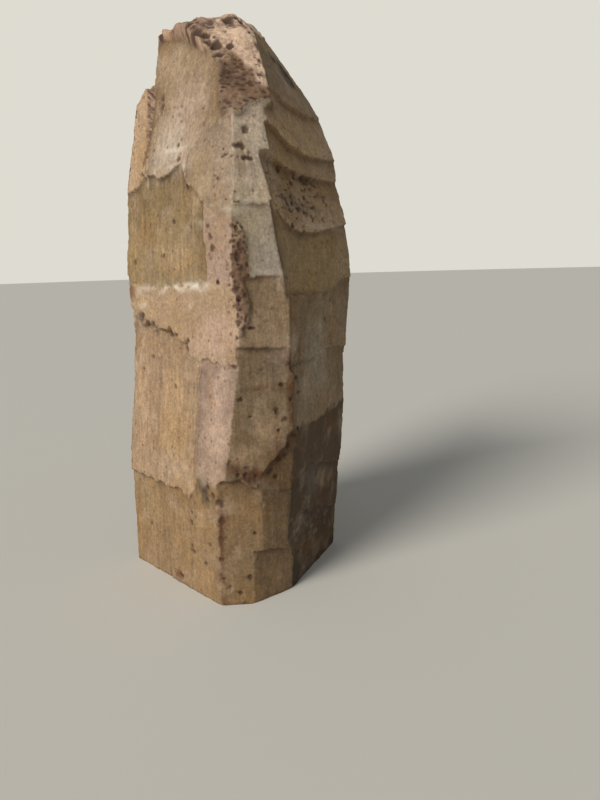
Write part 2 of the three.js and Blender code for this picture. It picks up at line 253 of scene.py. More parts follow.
# The pits that stand out on each side: across, height, radius.
PITS = (
    (-48, ((-9.9, 217.4, 1.6), (-9.6, 213.6, 1.4), (-9.8, 211, 1.1), (5.4, 195.8, 1), (7, 189.5, 1),
        (19, 208, 0.9), (-5, 232, 0.8), (-25, 193.5, 0.8), (-19, 186.5, 0.9), (2, 165, 1.2),
        (12, 178.5, 0.9), (-15, 165, 0.7), (-26, 149, 1), (25.8, 162, 1.3), (27, 158, 1.5),
        (28, 153.5, 1.4), (14.5, 162.5, 0.8), (-5, 151.5, 0.8), (-23.5, 125.3, 1.6), (-21, 121.5, 1.3),
        (-15.8, 121.5, 1.4), (-8.7, 118.5, 1.5), (-4.5, 116.8, 1.3), (0.6, 117, 1.2), (8.6, 115, 1.3),
        (6.9, 111.5, 1.2), (46, 126, 1.2), (31, 140, 1), (43, 121.5, 0.7), (-18, 106, 1.1),
        (-25, 99.5, 1), (-0.8, 93.5, 1), (0, 62.5, 0.9), (22.5, 50.5, 2), (25, 53.5, 1.7),
        (28.5, 50, 1.8), (24, 47.5, 1.5), (12.7, 38.5, 1.1), (11.8, 33.5, 1.5), (12.8, 19.5, 1.3),
        (12, 22, 0.9), (25, 26.5, 1.3), (21.7, 16.5, 1.1), (2, 4, 1.6), (-22, 23.5, 0.8), (40, 196, 1.1),
        (38.5, 191, 0.9), (30.4, 180, 0.9), (40.4, 186.6, 0.7), (39.5, 161, 1.3), (39, 156, 1.1),
        (40, 149.5, 1.5), (39, 143, 1.1), (40, 137, 1.4), (39.5, 130, 1.2), (40.5, 124, 1.3),
        (40, 118, 1.1), (31, 48, 1.7), (32, 39, 1.1), (32, 31, 1.4), (31.5, 22, 1.1), (31, 14, 1.2))),
    (15, ((-2, 197, 1.6), (-4, 191, 1.3), (-4, 186.5, 1.1), (4, 86.5, 1.7), (7, 97, 1.1),
        (15.5, 98.5, 1.2), (16.6, 92, 1.4), (12, 74.7, 1.6), (9, 70, 1.4), (4.5, 65, 1.5),
        (-11, 92.5, 1.1), (-3.5, 96, 0.9), (-12.5, 106, 1.1), (7.6, 66, 1.4), (15, 76, 1.2),
        (-7.7, 33, 0.9), (-11, 12.5, 1.4), (-15, 5.5, 1.1), (-19.5, 8, 1), (-14, 60.5, 1.3),
        (-6, 59, 1.2), (0, 60, 1.6), (3, 57, 1.4), (-10, 63, 1), (11, 106, 1.2), (10.5, 90.8, 0.9),
        (7.7, 82.5, 1.1), (4.9, 77.4, 0.8), (-17.3, 65.4, 1.2), (-14.1, 62.2, 0.9), (-10.8, 59.9, 1.4),
        (-20.8, 46.5, 1.2), (-20.8, 40.1, 1.3), (-21.6, 21.7, 0.8), (-22.1, 12.4, 0.9))),
    (60, ((11, 234.5, 1.6), (12.7, 228, 1.5), (12, 223.5, 1.4), (-16.9, 184, 1.3), (-6.1, 182.3, 1.2),
        (-0.6, 182.4, 1.4), (4, 182, 1.3), (6.5, 180.6, 1.2), (1.5, 178, 1), (-9, 180, 1),
        (-15.9, 170.5, 1.5), (-15.7, 168.1, 1.3), (-8.5, 168.9, 1.2), (-5.1, 167.9, 1.3),
        (0.3, 166, 1.2), (9.1, 165.1, 1.1), (-16.8, 161.6, 1.3), (4.5, 170.5, 1), (-12, 174, 1),
        (14, 174, 1.1), (8.6, 199.2, 0.9), (-12.3, 201.2, 1), (-16.5, 172, 1.2), (-12.5, 171.5, 1.1),
        (-8.5, 159.5, 0.9), (25, 140.5, 1), (14, 110.5, 0.9), (11, 129.5, 0.9), (7, 121.5, 0.8),
        (-1, 87, 1))),
    (128, ((-20, 60, 1.4), (4, 96, 1.2), (18, 132, 1.5), (-8, 168, 1.3), (10, 205, 1.1), (-16, 20, 1.2),
        (22, 30, 1.4))),
    (-133, ((-18, 70, 1.3), (8, 120, 1.5), (24, 88, 1.1), (-10, 160, 1.2), (14, 196, 1.4), (-4, 30, 1.6),
        (26, 20, 1.1))),
)

# Stretches crowded with short level dents: side, across, height, half-width, half-height, and
# the share of the places for a dent that have one.
POCKED = ((60, -3, 176, 20, 9, 0.6), (60, -5, 166, 16, 5, 0.45), (-48, 39, 141, 4, 28, 0.4),
    (15, -9, 190, 3, 12, 0.35), (15, 1, 100, 14, 14, 0.08), (-48, 0, 214, 16, 22, 0.06))

# Deep holes in the cap's skin, longer from left to right than across: right of the axis,
# behind the axis, radius.
CAP_HOLES = ((-19, -15, 1.8), (-16, -24, 1.6), (-8.8, -20.7, 2.2), (-6.5, -22.5, 1.7),
    (-4.2, -24.8, 2.2), (-1.8, -25, 1.8), (4.2, -15.2, 1.6), (8, -14, 1.5), (-27, -2, 1.8),
    (-12, -17, 1.3), (-6, 4, 2.4), (8, 8, 2), (-16, 6, 1.8), (1, -30, 1.6), (5, -27, 1.4),
    (-13, -26, 1.2))

# Knobs that stand out from the cap's skin: a point near each, its radius and its rise.
KNOBS = ((-26, -4, 242, 6, 2.4), (-20, -12, 242, 6, 2.2), (-8, -14, 246, 8, 0.2), (4, -12, 247, 8, 1.2),
    (10, -20, 240, 6, 0.8))

# Chalky bruises where a blow glanced: side, across, height, half-width, half-height, strength.
BRUISES = ((-48, -1, 137.5, 12, 1.8, 0.9), (-48, 17, 138.5, 9, 1.8, 0.8), (-48, -21, 136, 6, 2, 0.7),
    (-48, -22, 129.5, 4, 1.2, 0.55), (-48, 14, 130, 3, 1.5, 0.5), (-48, 2, 194, 11, 1.2, 0.6),
    (-48, 7, 186.5, 7, 1.1, 0.4), (-48, -9, 190, 1, 9, 0.5), (-48, -15.5, 187, 0.8, 7, 0.4),
    (-48, 38.5, 170, 6, 3.2, 0.6), (15, -8.5, 170.5, 4, 3, 0.5), (-48, 16, 163, 7, 1.4, 0.45),
    (15, 0, 171.5, 9, 1, 0.5), (15, 6, 143, 10, 1, 0.35), (60, 12, 162, 15, 1.2, 0.35),
    (128, 5, 150, 14, 1.8, 0.5), (-133, -6, 141, 15, 1.8, 0.5))

# A line stops on a flat only if it gains this much on it for each unit along the line.
LEAST_GAIN = 0.12

# How deep the marks go.
PIT_DEPTH = 0.9
HOLE_DEPTH = 1.2
SPECK_DEPTH = 0.35
CHIP_DEPTH = 0.6
HOLLOW_DEPTH = 0.6

# Patches of another hue: side, across, height, half-width, half-height, hue, strength. Where
# they overlap, the later ones lie over the earlier. A few are painted shadow under ledges,
# marked below.
PATCHES = ((-48, -3, 197, 12, 13, "chalk", 0.3), (-48, 4, 229, 22, 11, "dun", 0.45),
    (-48, 20, 183, 8, 14, "olive", 0.6), (-48, 38, 186, 5, 12, "grey", 0.5),
    (-48, 6, 150, 14, 8, "ochre", 0.4), (-48, 30, 121, 13, 7, "pink", 0.8),
    (-48, -22, 130, 9, 6, "ochre", 0.5), (-48, -30, 136, 2.4, 3.6, "rust", 0.7),
    (-48, -2, 80, 12, 24, "ochre", 0.5), (-48, -25, 80, 7, 30, "tan", 0.5),
    (-48, -5, 57, 20, 6, "buff", 0.5), (-48, -22, 34, 9, 14, "olive", 0.5),
    (-48, 22, 53, 5, 3.6, "moss", 0.85), (-48, 31.8, 28, 1.1, 28, "rust", 0.8),
    (15, -21.8, 28, 1.2, 28, "rust", 0.8), (-48, 24, 47, 3.6, 3, "moss", 0.7),
    (-48, 30, 14, 3, 10, "rust", 0.4), (-48, 0.5, 3.5, 3.4, 3, "rust", 0.9),
    (15, -20, 42, 2.4, 6, "rust", 0.6), (15, -5, 190, 4, 11, "umber", 0.35),
    (15, 12, 112, 6, 6, "pink", 0.4), (15, 0, 96, 13, 2.2, "rust", 0.4),
    (15, 10.8, 102, 2, 12, "rust", 0.8), (15, 9.5, 86, 2, 9, "rust", 0.8),
    (15, 4, 75, 2.6, 7, "rust", 0.6), (15, 13.5, 76, 3.4, 12, "rust", 0.45),
    (15, -15, 63.5, 6, 3, "rust", 0.85), (15, -9.5, 60, 6, 4.5, "rust", 1),
    (15, -8, 59, 4, 3, "iron", 0.6), (15, -5, 59, 6, 2.4, "rust", 0.8), (15, 2, 66, 5, 5, "rust", 0.5),
    (15, -21, 92, 1.3, 12, "umber", 0.8), (15, 2, 141.4, 9, 1, "rust", 0.5),
    (15, -12, 70, 7, 5, "tan", 0.4), (15, 1, 79, 7, 7, "tan", 0.35), (60, -1, 106, 13, 20, "slate", 0.9),
    (-48, 22, 113, 17, 5.5, "pink", 0.7), (60, -15, 84, 6, 16, "slate", 0.4),
    (60, -2, 46, 9, 10, "lead", 0.6), (60, -5, 177, 16, 7, "umber", 0.5),
    (60, -2, 169, 14, 3, "iron", 0.35), (60, 1, 182, 8, 2, "iron", 0.4),
    (60, 15, 114, 6, 14, "umber", 0.5), (60, 14, 74, 7, 12, "rust", 0.4),
    (60, 12, 40, 14, 12, "rust", 0.35), (60, 0, 20, 22, 14, "rust", 0.3),
    (60, 6.5, 233, 3.2, 3.4, "iron", 1), (60, 8.6, 228, 3.2, 3.4, "iron", 1),
    (60, 9, 224, 2.8, 3, "iron", 0.9), (60, 11, 230.5, 2.4, 4, "iron", 1),
    (60, 13.4, 226, 2.4, 4, "iron", 0.9), (60, -4, 162.5, 18, 1.2, "buff", 0.7),
    # Painted shade: the first patch below, (60, 20, 178), is a dark wedge under a ledge.
    (60, 20, 178, 12, 4.5, "umber", 0.8), (60, -14, 166, 7, 5, "umber", 0.6),
    # Painted shadow: the two moss patches below and the two umber patches after them, at heights 114 to
    # 124 on the front left, are the dark teeth under a jagged ledge.
    (-48, -25, 124, 3.2, 2.6, "moss", 0.8), (-48, -16, 121, 3.4, 2.2, "moss", 0.7),
    (-48, -6, 118, 4, 2, "umber", 0.7), (-48, 5, 114, 4, 3, "umber", 0.5),
    # Painted shadow: the first patch below, (-48, -10, 241.8), is the dark line under the lip of the cap.
    (-48, -10, 241.8, 11, 1.2, "umber", 0.8), (15, 18, 112, 1.5, 8, "rust", 0.6),
    (15, -11, 118, 3, 8, "pink", 0.5), (-48, 28, 80, 9, 26, "pink", 0.7),
    (60, -14, 172, 7, 3, "iron", 0.5), (60, 2, 181, 9, 2, "iron", 0.45),
    (60, -21, 196, 3, 8, "umber", 0.5), (128, 8, 96, 16, 14, "slate", 0.5),
    (128, -12, 150, 14, 18, "pink", 0.5), (128, 4, 22, 18, 10, "rust", 0.35),
    (-133, -8, 60, 16, 18, "ochre", 0.5), (-133, 14, 150, 12, 20, "slate", 0.4),
    (-133, 4, 202, 18, 8, "pink", 0.5))


# ---- patterns in space, worked out for whole arrays of points ----

def mixed(cells):
    """A number from 0 to 4095 for each cell, from its three whole numbers."""
    turned = cells[..., 0] * 73856093 ^ cells[..., 1] * 19349663 ^ cells[..., 2] * 83492791
    return turned & 4095


def wander(points, size, seed):
    """Smooth noise between about -1 and 1. Random values stand at the corners of cubes `size`
    across, and between them they are blended by the curve 6t^5 - 15t^4 + 10t^3."""
    table = np.random.default_rng(seed).uniform(-1, 1, 4096)
    scaled = points / size
    corner = np.floor(scaled).astype(np.int64)
    part = scaled - corner
    part = part * part * part * (part * (part * 6 - 15) + 10)
    total = np.zeros(points.shape[:-1])
    for step in itertools.product((0, 1), repeat=3):
        share = np.prod(np.where(step, part, 1 - part), axis=-1)
        total += share * table[mixed(corner + np.array(step))]
    return total


def rough(points, size, seed, octaves=3):
    """Several layers of wander, each half the size and half the strength of the last."""
    layers = [wander(points, size / 2 ** n, seed + n) / 2 ** n for n in range(octaves)]
    return sum(layers)


def scattered(points, size, seed):
    """Distance, in sizes, to the nearest of the points scattered one to a cube `size` across,
    and that point's own random number from 0 to 1."""
    tables = np.random.default_rng(seed).uniform(0, 1, (4, 4096))
    scaled = points / size
    corner = np.floor(scaled).astype(np.int64)
    nearest = np.full(points.shape[:-1], 9.0)
    own = np.zeros(points.shape[:-1])
    for step in itertools.product((-1, 0, 1), repeat=3):
        cell = corner + np.array(step)
        key = mixed(cell)
        place = cell + np.stack([tables[n][key] for n in range(3)], axis=-1)
        far = np.linalg.norm(place - scaled, axis=-1)
        nearer = far < nearest
        nearest = np.where(nearer, far, nearest)
        own = np.where(nearer, tables[3][key], own)
    return nearest, own


def strips(across, width, seed):
    """Steps between random levels from -1 to 1, one to each strip about `width` across, with
    a soft edge a fifth of a strip wide. The strips' widths vary by a slow wave."""
    table = np.random.default_rng(seed).uniform(-1, 1, 256)
    place = across / width + 0.45 * np.sin(across / width * 1.7 + seed)
    index = np.floor(place).astype(np.int64)
    edge = held((place - index - 0.8) / 0.2)
    return table[index & 255] * (1 - edge) + table[(index + 1) & 255] * edge


def held(values):
    """Values, held between 0 and 1."""
    return np.clip(values, 0, 1)


def bowl(distance, radius):
    """1 at the middle of a round dent, falling to 0 at its rim."""
    return held(1 - (distance / radius) ** 2) ** 1.5


def dents(points, size, seed, least, spread, crowd):
    """Round dents, one to a cube `size` across, where its own number is below `crowd`. Their
    radius, in sizes, is `least` and up to `spread` more. From 1 in the middle to 0 outside."""
    far, own = scattered(points, size, seed)
    return bowl(far, least + spread * own) * (own < crowd)


def lesser(a, b, soft):
    """The smaller of two distances, rounded over `soft` where they are nearly equal."""
    near = np.clip(soft - np.abs(a - b), 0, None) / soft
    return np.minimum(a, b) - near * near * soft / 4


def to_line(line, across, height):
    """Distance from points to the nearest of a line's straight lengths."""
    least = np.full(across.shape, 1e9)
    for (x0, y0), (x1, y1) in zip(line[:-1], line[1:]):
        run, rise = x1 - x0, y1 - y0
        share = ((across - x0) * run + (height - y0) * rise) / (run * run + rise * rise)
        share = held(share)
        gap = (across - x0 - share * run) ** 2 + (height - y0 - share * rise) ** 2
        least = np.minimum(least, gap)
    return np.sqrt(least)


def outside(outline, across, height):
    """Distance from points to a closed outline, negative for points within it. A point is
    within if a level line from it crosses the outline an odd number of times."""
    closed = [*outline, outline[0]]
    within = np.zeros(across.shape, bool)
    for (x0, y0), (x1, y1) in zip(closed[:-1], closed[1:]):
        if y1 != y0:
            crosses = (y0 > height) != (y1 > height)
            within ^= crosses & (across < x0 + (height - y0) * (x1 - x0) / (y1 - y0))
    return np.where(within, -1, 1) * to_line(closed, across, height)


# ---- the stone's surface ----

def directions(turn):
    """A side's outward direction, and its direction across from left to right."""
    angle = math.radians(turn)
    out = np.array([math.sin(angle), -math.cos(angle), 0])
    across = np.array([math.cos(angle), math.sin(angle), 0])
    return out, across


def facing(vectors, turn, least):
    """Whether vectors reach further than `least` in a side's outward direction."""
    return vectors @ directions(turn)[0] > least


def from_spot(points, turn, across, height, half_width, half_height):
    """Where points lie from a spot on a side: across in half-widths, and up in half-heights."""
    sideways = points @ directions(turn)[1]
    return (sideways - across) / half_width, (points[..., 2] - height) / half_height


def lines_from_axis(columns, rows):
    """The grid's two parameters are the way round the axis and the way up from the foot. Row
    by row, a line starts on the axis and runs out level, up to the hub, and from there on all
    lines start at the hub and tilt up in equal steps until the last one is upright."""
    turn = np.arange(columns) / columns * 2 * np.pi
    level = round(rows * 0.68)
    fanned = rows - level
    height = np.concatenate([np.linspace(0, HUB, level, endpoint=False), np.full(fanned, HUB)])
    tilt = np.concatenate([np.zeros(level), np.linspace(0, np.pi / 2, fanned, endpoint=False)])
    tilt = tilt[:, None]
    starts = np.zeros((rows, columns, 3))
    starts[..., 2] = height[:, None]
    lines = np.stack([np.cos(tilt) * np.sin(turn), -np.cos(tilt) * np.cos(turn),
                      np.sin(tilt) * np.ones(columns)], axis=-1)
    return starts, lines


def crusted(points):
    """1 on the dark crust that runs round under the cap, falling to 0 on the worn cap. The
    crust's upper edge is lower on the right: it falls 1.1 mm for each mm across."""
    edge = CRUST_TOP - 1.1 * np.clip(points[..., 0] - 3, 0, 20) + 3 * wander(points, 4, 205)
    return held((edge - points[..., 2]) / 3)


def skin_hollows(points):
    """The small hollows of the skin, from 0 to 1. They come in two sizes, taller than they are
    wide, and thin out towards the cap. On the crust they are level dashes instead."""
    height = points[..., 2]
    stretched = points * (1, 1, 0.7)
    crowd = 0.62 - 0.5 * np.clip((height - 222) / 10, -0.3, 0.7)
    hollow = dents(stretched, 2.7, 31, 0.3, 0.34, crowd)
    hollow = np.maximum(hollow, 0.65 * dents(stretched, 1.5, 37, 0.55, 0, crowd))
    dashes = dents(points * (0.6, 0.6, 1.4), 1.6, 39, 0.45, 0.35, 0.85)
    crust = held((height - CRUST_FOOT) / 6) * crusted(points)
    return hollow + (dashes - hollow) * crust


def skin_distance(starts, lines, lump_rise):
    """How far each line runs to the boulder's skin. The nearest split faces are blended by
    the logarithm of a sum of exponentials, which rounds the edges between them. Knobs, broad
    lumps and small hollows are then added, and the lumps grow towards the cap."""
    soft = 0.7
    total = np.zeros(lines.shape[:-1])
    for turn, reach, height, fall in SPLIT_FACES:
        normal = directions(turn)[0] + fall * UP
        gain = lines @ normal
        run = (reach + fall * height - starts @ normal) / np.maximum(gain, 1e-4)
        total += np.where(gain > 0.02, np.exp(-np.minimum(run, 400) / soft), 0)
    distance = -soft * np.log(total)
    points = starts + distance[..., None] * lines
    broad = np.clip((points[..., 2] - 200) / 35, 0.05, 1)
    relief = 0.8 * broad * wander(points, 9, 11) + (0.15 + 0.3 * broad) * rough(points, 4.2, 21)
    for *middle, radius, rise in KNOBS:
        distance += rise * bowl(np.linalg.norm(points - np.array(middle), axis=-1), radius)
    hollow = skin_hollows(points)
    distance += lump_rise * relief - HOLLOW_DEPTH * hollow
    return distance, relief, hollow


def chatter(arcs, across, height):
    """Shallow steps along arcs: a saw wave over the distance from the arcs' middle, in which
    the way across counts for half as much as the way up."""
    middle_across, middle_height, spacing, depth = arcs
    far = np.hypot((across - middle_across) / 1.9, height - middle_height) / spacing
    return depth * (far - np.floor(far) - 0.5)


def flat_stops(turn, struck, starts, lines):
    """How far each line runs to a flat's plane, whether it heads that way, and the height at
    which it arrives."""
    out, sideways = directions(turn)
    across0, height0, depth0 = struck.at
    gain_across, gain_up = struck.slope
    normal = out - gain_across * sideways - gain_up * UP
    gain = lines @ normal
    offset = depth0 - gain_across * across0 - gain_up * height0
    run = (offset - starts @ normal) / np.maximum(gain, 1e-4)
    return run, gain > LEAST_GAIN, starts[..., 2] + run * lines[..., 2]


def chisel_scores(across, height, number):
    """The steps that the chisel's strokes leave on a flat: broad and fine upright strips."""
    broad = strips(across + 0.02 * height, 3.6, number + 120)
    return broad + 0.45 * strips(across - 0.015 * height, 1.25, number + 180)


def struck_distance(starts, lines, distance, steep, ragged):
    """The skin's distance, cut back to each flat. Within a flat's outline a line stops on the
    flat. Outside it the stop moves out by `steep` times the distance from the outline, which
    makes the wall of the ledge. A skinned flat's wall is three times as steep and lumpy, and
    belongs to the skin. Returns the distance, the flat that each line stops on (0 is the
    skin), its distance from the flat's outline and, in fades, from its head, its chisel
    score, and how much further out the next best stop is."""
    owner = np.zeros(distance.shape, int)
    rim = np.full(distance.shape, -30.0)
    beneath = np.full(distance.shape, 3.0)
    scored = np.zeros(distance.shape)
    second = distance + 30
    for number, (turn, struck) in enumerate(FLATS, 1):
        run, ahead, height = flat_stops(turn, struck, starts, lines)
        low, high = (bound(up for _, up in struck.outline) for bound in (min, max))
        near = ahead & (height > low - 5) & (height < high + 5) & (run < distance + 2)
        points = starts[near] + run[near][:, None] * lines[near]
        across, height = points @ directions(turn)[1], points[:, 2]
        jag = ragged * struck.ragged
        lift = jag * (0.9 * strips(across, 3.1, number) + 0.7 * wander(points, 3.5, number))
        drift = jag * 0.7 * wander(points, 4.5, number + 60)
        beyond = outside(struck.outline, across + drift, height - lift)
        head = to_line(struck.head, across + drift, height - lift)
        scores = chisel_scores(across, height, number)
        wall = steep * np.maximum(beyond, 0)
        if struck.skinned:
            wall = 3 * wall + 1.2 * rough(points, 3.5, 45) * held(beyond)
        level = run[near] + struck.score * scores + wall
        level += 0.1 * rough(points, 2.6, 41) + 0.2 * wander(points, 15, 43)
        if struck.arcs:
            steps = chatter(struck.arcs, across, height)
            level += steps
            # Painted shade: the score's tone follows the steps too, darker just under each arc.
            scores = scores + 2.5 * steps
        before = distance[near]
        cut = level < before
        stone = np.where(struck.skinned & (beyond > 0), 0, number)
        for kept, fresh in ((owner, stone), (rim, beyond), (beneath, head / struck.fade),
                            (scored, scores)):
            kept[near] = np.where(cut, fresh, kept[near])
        second[near] = np.minimum(second[near], np.maximum(before, level))
        distance[near] = lesser(before, level, 0.25)
    return distance, owner, rim, beneath, scored, second - distance


def of_flats(key):
    """One entry of each flat, after 0 for the skin."""
    return np.array([0.0] + [getattr(struck, key) for _, struck in FLATS])


def strongest(spots, points, lines, least, power):
    """The strength at each point of the strongest of some spots. A spot fades by a fourth
    power across and by the given power up, and shows only on lines that face its side."""
    best = np.zeros(points.shape[:-1])
    for turn, *spot, strength in spots:
        across, height = from_spot(points, turn, *spot)
        faded = np.exp(-(across ** 4 + height ** power)) * facing(lines, turn, least)
        best = np.maximum(best, strength * faded)
    return best


def pit_depths(points, lines):
    """How deep each point lies in a pit, from 0 at the rim to 1 at the middle: first the pits
    that stand out, whose rims wobble, and then the level dents of the pocked stretches."""
    pitted = np.zeros(points.shape[:-1])
    for turn, pits in PITS:
        near = facing(lines, turn, 0.45)
        across, height = points[near] @ directions(turn)[1], points[near][:, 2]
        wobble = 0.7 * rough(points[near], 1.6, 61, 2)
        for at_across, at_height, radius in pits:
            far = np.hypot(across - at_across, height - at_height) + wobble
            pitted[near] = np.maximum(pitted[near], bowl(np.maximum(far, 0), 1.2 * radius))
    crowd = strongest(POCKED, points, lines, 0.6, 4)
    return np.maximum(pitted, dents(points * (0.6, 0.6, 1.3), 2.0, 73, 0.35, 0.6, crowd))


def hole_depths(points):
    """How deep each point lies in one of the cap's holes, from 0 at its ragged rim to 1."""
    holes = np.zeros(points.shape[:-1])
    ragged = 0.8 * wander(points, 2.4, 81)
    for right, behind, radius in CAP_HOLES:
        far = np.hypot(0.6 * (points[..., 0] - right), points[..., 1] - behind) + ragged
        holes = np.maximum(holes, bowl(np.maximum(far, 0), radius))
    return holes * (points[..., 2] > CAP_FOOT)


def stone_surface(columns, rows, settings):
    """Every point of the stone above its foot, row by row, the flat that it lies on, how far
    it lies under that flat's ledge, from 0 to 1, and the facts that the material reads."""
    starts, lines = lines_from_axis(columns, rows)
    skin, relief, hollow = skin_distance(starts, lines, settings.lump_rise / MM)
    distance, owner, rim, beneath, scored, gap = struck_distance(
        starts, lines, skin.copy(), settings.ledge_steepness, settings.ledge_raggedness)
    points = starts + distance[..., None] * lines
    is_skin = owner == 0

    # An edge shows where the next best stop is only a little further out.
    chip = held(rough(points, 2.4, 51) + 0.05)
    edge = held(1 - gap)
    sharp_edge = held(1 - gap / 0.7)
    pitted = pit_depths(points, lines)
    holes = hole_depths(points)
    far, own = scattered(points, 5.2, 71)
    specks = bowl(far * 5.2, 0.75) * (own > 0.62) * ~is_skin
    blotches = held(0.6 + 1.3 * rough(points * (0.5, 0.5, 1.2), 2.2, 91))
    bruised = strongest(BRUISES, points, lines, 0.5, 2) * blotches
    # Painted shade: a dark line along the foot of each ledge of struck stone.
    ledge_foot_shade = 0.35 * np.exp(-(rim / 1.6) ** 2) * held(gap / 1.5) * ~is_skin

    distance -= CHIP_DEPTH * edge * chip
    distance -= PIT_DEPTH * pitted
    distance -= SPECK_DEPTH * specks
    distance -= HOLE_DEPTH * holes * is_skin
    points = starts + distance[..., None] * lines
    points[0, :, 2] = 0
    facts = {
        "skin": is_skin.astype(float),
        "relief": held(0.5 + 0.45 * relief - 0.6 * hollow - 0.7 * holes),
        # Dark in pits, specks and the cap's holes, and painted shade along the foot of each ledge.
        "hollows_and_ledge_shade": held(ledge_foot_shade + pitted + 0.7 * specks + holes * is_skin),
        # Chalky bruises, and pale chalk along sharp edges that is partly wear and partly painted
        # highlight.
        "fresh": held(bruised + 0.2 * sharp_edge * chip * ~is_skin),
        # Chisel scores, with painted shade just under each chatter arc.
        "score": 0.5 + 0.3 * scored,
        "streaky": np.clip(of_flats("score")[owner] / 0.3, 0.15, 1),
    }
    return points, owner, np.exp(-beneath), facts


# ---- colour ----

def linear(hex_colour):
    """An sRGB hex colour as linear red, green and blue."""
    value = int(hex_colour.lstrip("#"), 16)
    parts = [(value >> shift & 255) / 255 for shift in (16, 8, 0)]
    return tuple(p / 12.92 if p <= 0.04045 else ((p + 0.055) / 1.055) ** 2.4 for p in parts)


# The stone's hues: of struck stone and of patches on it, then of stains and bruises, and
# then of the weathered skin.
HUES = {key: np.array(linear(value)) for key, value in {
    "tan": "#b99a79", "pink": "#bc9e89", "buff": "#b79d82", "ochre": "#b59267",
    "olive": "#a48a64", "dun": "#a88d6c", "grey": "#ab9c88", "slate": "#988974",
    "umber": "#8c6c45", "lead": "#6d6254",
    "rust": "#5f3914", "iron": "#2f2216", "moss": "#4f4531", "chalk": "#dccfbd",
    "peach": "#d6b69b", "bark": "#a0806a", "rind": "#7b5e46", "blush": "#b8957e",
}.items()}


def mixed_colours(below, above, share):
    """Two colours, or arrays of them, mixed by a share for each point."""
    return below + (above - below) * held(share)[..., None]


def stone_colours(points, owner, under):
    """The hue of the flat or the skin that each point lies on. Struck stone takes painted shade
    under its ledge, partly its own darker colour there, and drifts to ochre and to pink over a
    few centimetres. The patches lie over it; a few of them are painted shadow under ledges."""
    bases = np.array([HUES["tan"]] + [HUES[flat.hue] * flat.tone for _, flat in FLATS])
    under_ledge_shade = HUES["umber"] / HUES["tan"] * 0.85
    drift = 0.5 * wander(points, 24, 201) + 0.4 * wander(points * (1, 1, 0.5), 9, 203)
    warmth = 1.1 * (HUES["ochre"] / HUES["tan"] - 1)
    blush = 0.5 * (HUES["pink"] / HUES["tan"] - 1)
    colours = bases[owner] * (1 + held(drift)[..., None] * warmth)
    colours *= 1 + held(-drift)[..., None] * blush
    # Painted shade under each flat's ledge, partly the stone's own darker colour there.
    colours = mixed_colours(colours, colours * under_ledge_shade, of_flats("shade")[owner] * under)
    cap = mixed_colours(HUES["bark"], HUES["peach"], (points[..., 0] + 9) / 8)
    skin = mixed_colours(cap, HUES["rind"], crusted(points))
    bare = (0.3 + 0.9 * wander(points * (1, 1, 0.5), 5, 211)) * (points[..., 2] < BARE_TOP)
    skin = mixed_colours(skin, HUES["tan"] * 0.66, bare)
    skin = mixed_colours(skin, HUES["blush"], (-17 - points[..., 0]) / 5)
    colours = np.where((owner == 0)[..., None], skin, colours)
    ragged_edge = 0.3 * rough(points * (1, 1, 0.5), 4, 207)
    for turn, *spot, hue, strength in PATCHES:
        far = np.hypot(*from_spot(points, turn, *spot)) + ragged_edge
        share = strength * held(1.5 - 1.25 * far) * facing(points, turn, 8)
        colours = mixed_colours(colours, HUES[hue], share)
    return colours * (1 + 0.07 * wander(points, 6, 209))[..., None]


# ---- meshes ----

def grid_faces(columns, rows):
    """Quads between the rows, a fan at the top pole and one under the foot. Two points follow
    the grid's own: the pole, and the middle of the foot."""
    column = np.arange(columns)
    beside = (column + 1) % columns
    base = (np.arange(rows - 1) * columns)[:, None]
    quads = np.stack([base + column, base + beside, base + columns + beside,
                      base + columns + column], axis=-1).reshape(-1, 4)
    last = (rows - 1) * columns
    pole = np.full(columns, rows * columns)
    foot = pole + 1
    top = np.stack([last + column, last + beside, pole], axis=-1)
    under = np.stack([beside, column, foot], axis=-1)
    return quads, np.concatenate([top, under])


def mesh_from(name, points, quads, triangles):
    """A mesh from whole arrays of points, in metres, and faces."""
    mesh = bpy.data.meshes.new(name)
    mesh.vertices.add(len(points))
    mesh.vertices.foreach_set("co", points.astype(np.float32).ravel())
    corners = np.concatenate([quads.ravel(), triangles.ravel()])
    sizes = np.concatenate([np.full(len(quads), 4), np.full(len(triangles), 3)])
    mesh.loops.add(len(corners))
    mesh.loops.foreach_set("vertex_index", corners.astype(np.int32))
    mesh.polygons.add(len(sizes))
    mesh.polygons.foreach_set("loop_start", (np.cumsum(sizes) - sizes).astype(np.int32))
    mesh.update(calc_edges=True)
    if mesh.validate():
        raise RuntimeError(f"{name}: the mesh had faces that are not valid")
    return mesh


def add_attribute(mesh, name, values):
    """A number for each point of the mesh, which the material reads by name."""
    attribute = mesh.attributes.new(name, "FLOAT", "POINT")
    attribute.data.foreach_set("value", values.astype(np.float32).ravel())


def add_colour(mesh, name, colours):
    """A colour for each point of the mesh."""
    attribute = mesh.attributes.new(name, "FLOAT_COLOR", "POINT")
    opaque = np.concatenate([colours, np.ones((len(colours), 1))], axis=1)
    attribute.data.foreach_set("color", opaque.astype(np.float32).ravel())


def shown_object(context, name, mesh):
    """An object at the origin that shows the mesh."""
    piece = bpy.data.objects.new(name, mesh)
    context.scene.collection.objects.link(piece)
    return piece


def thinned(context, piece, triangles):
    """The piece's mesh with flat stretches thinned out to about that many triangles, so that
    the points left are spent on ledges, pits and edges."""
    whole = sum(len(p.vertices) - 2 for p in piece.data.polygons)
    thinning = piece.modifiers.new("thinning", "DECIMATE")
    thinning.ratio = triangles / whole
    context.view_layer.update()
    graph = context.evaluated_depsgraph_get()
    mesh = bpy.data.meshes.new_from_object(
        piece.evaluated_get(graph), preserve_all_data_layers=True, depsgraph=graph)
    piece.modifiers.remove(thinning)
    return mesh


# ---- materials ----

